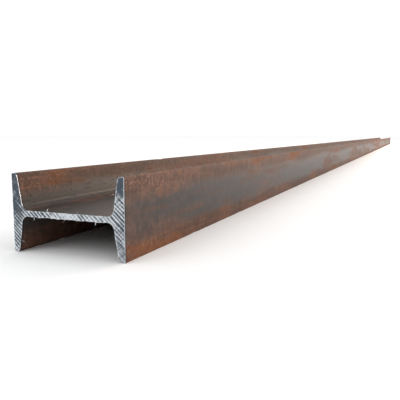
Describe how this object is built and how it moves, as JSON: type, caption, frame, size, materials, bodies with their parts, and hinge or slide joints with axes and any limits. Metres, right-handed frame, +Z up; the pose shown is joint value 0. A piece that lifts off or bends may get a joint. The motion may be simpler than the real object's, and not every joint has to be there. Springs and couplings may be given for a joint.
{
  "type": "steel h-beam",
  "caption": "Hot-rolled steel H-beam with tapered flanges, rounded toes and root fillets, sawn square at both ends; straight bar for frames, floors and lintels.",
  "frame": {"origin": "on the floor under the middle of the bar, at the bottom centre of its box", "axes": "+X along the bar, +Y across from one flange to the other, +Z up, out of the web's upper face; the bar lies on its flange tips with its web level"},
  "size_m": [6, 0.12, 0.074],
  "materials": {
    "steel": "hot-rolled mill scale with brown surface rust on the long faces, bright sawn steel on the two ends"
  },
  "bodies": {
    "root": {"h_beam": "steel"}
  },
  "joints": []
}
